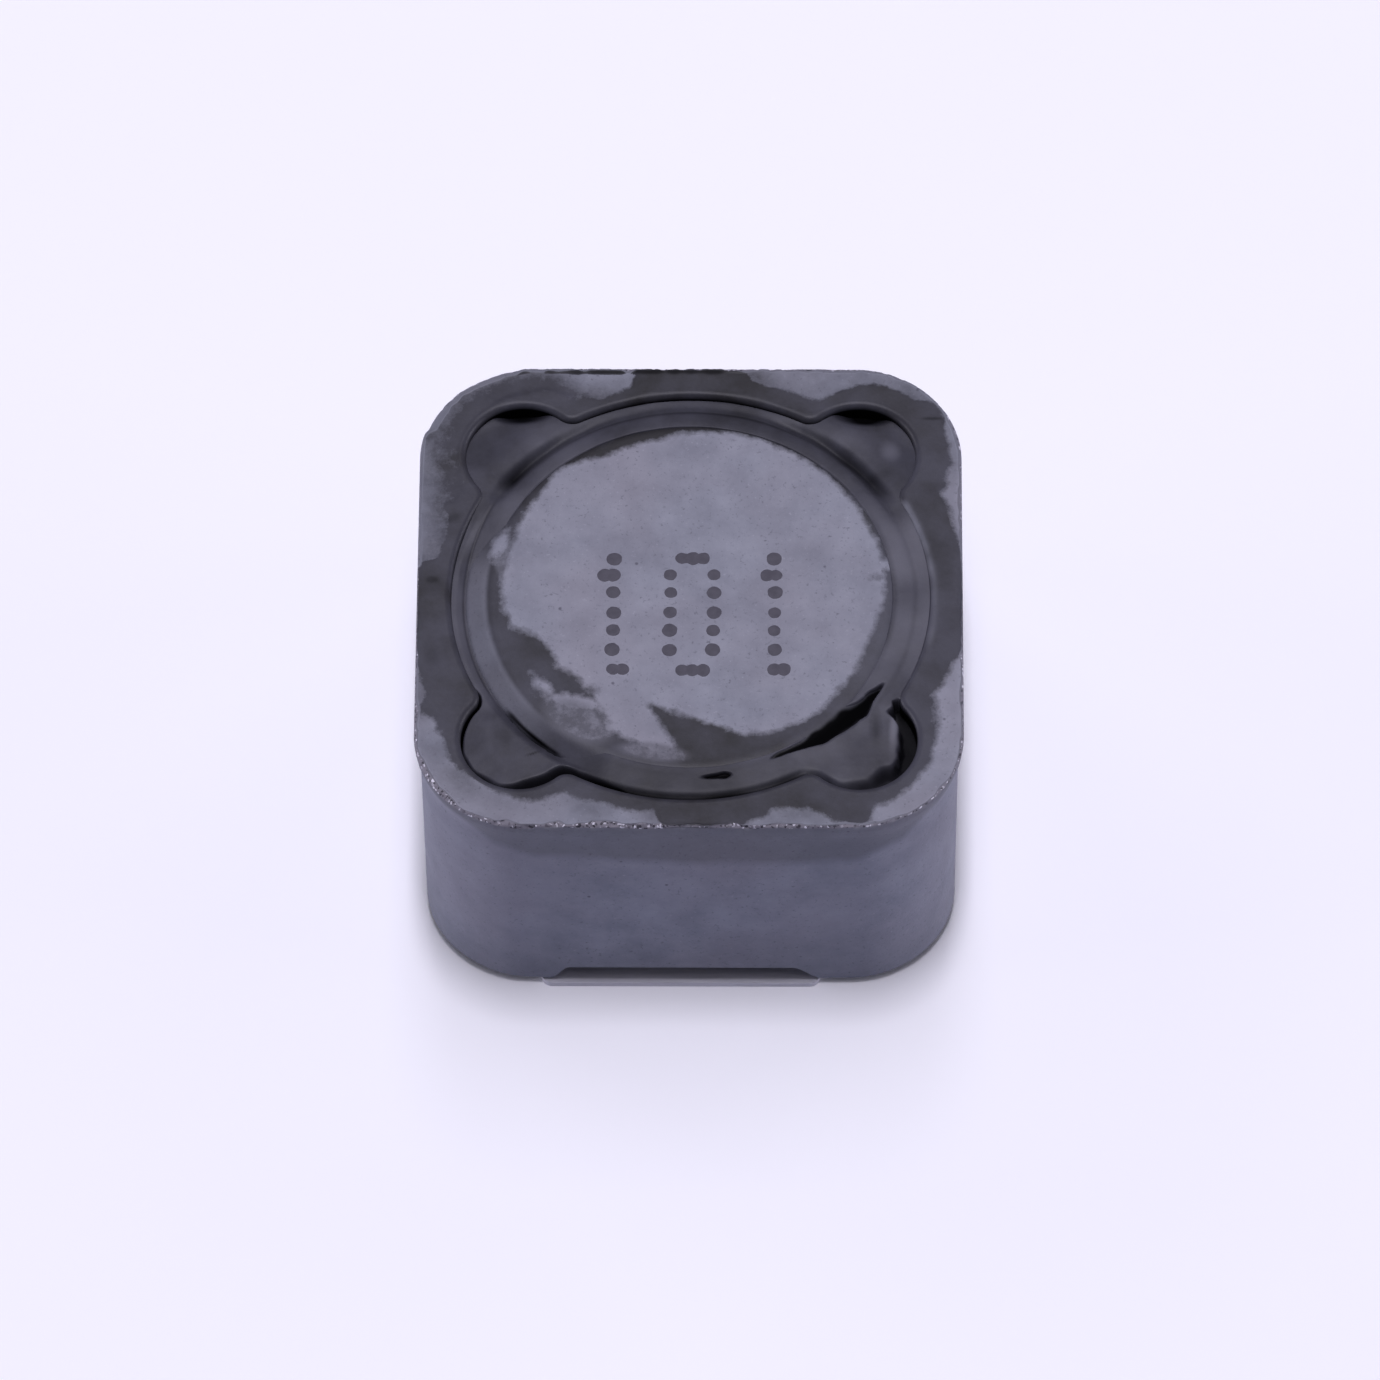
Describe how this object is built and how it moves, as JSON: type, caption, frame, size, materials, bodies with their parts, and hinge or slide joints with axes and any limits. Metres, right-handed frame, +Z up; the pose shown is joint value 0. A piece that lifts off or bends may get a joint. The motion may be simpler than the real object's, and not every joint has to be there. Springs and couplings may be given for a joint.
{
  "type": "shielded smd inductor",
  "caption": "Square ferrite-shielded surface-mount power inductor: a wound drum glued inside a lobed ring core, on two flat soldering strips.",
  "frame": {"origin": "centre of the footprint, on the board plane under the terminals", "axes": "+Z up away from the board, -Y towards the front notch, +X to the right seen from the front"},
  "size_m": [0.012, 0.012, 0.0068],
  "materials": {
    "ferrite": "matt sintered ferrite, with a satin varnish over part of it",
    "epoxy": "satin cured epoxy",
    "enamelled_copper": "clear enamel over copper",
    "tinned_strip": "matt tin plate",
    "solder": "reflowed solder"
  },
  "bodies": {
    "root": {"ring_core": "ferrite", "drum_core": "ferrite", "winding": "enamelled_copper", "top_adhesive": "epoxy", "terminal_front": "tinned_strip", "terminal_back": "tinned_strip", "solder_joint_front": "solder", "solder_joint_back": "solder", "terminal_bond_front": "epoxy", "terminal_bond_back": "epoxy"}
  },
  "joints": []
}
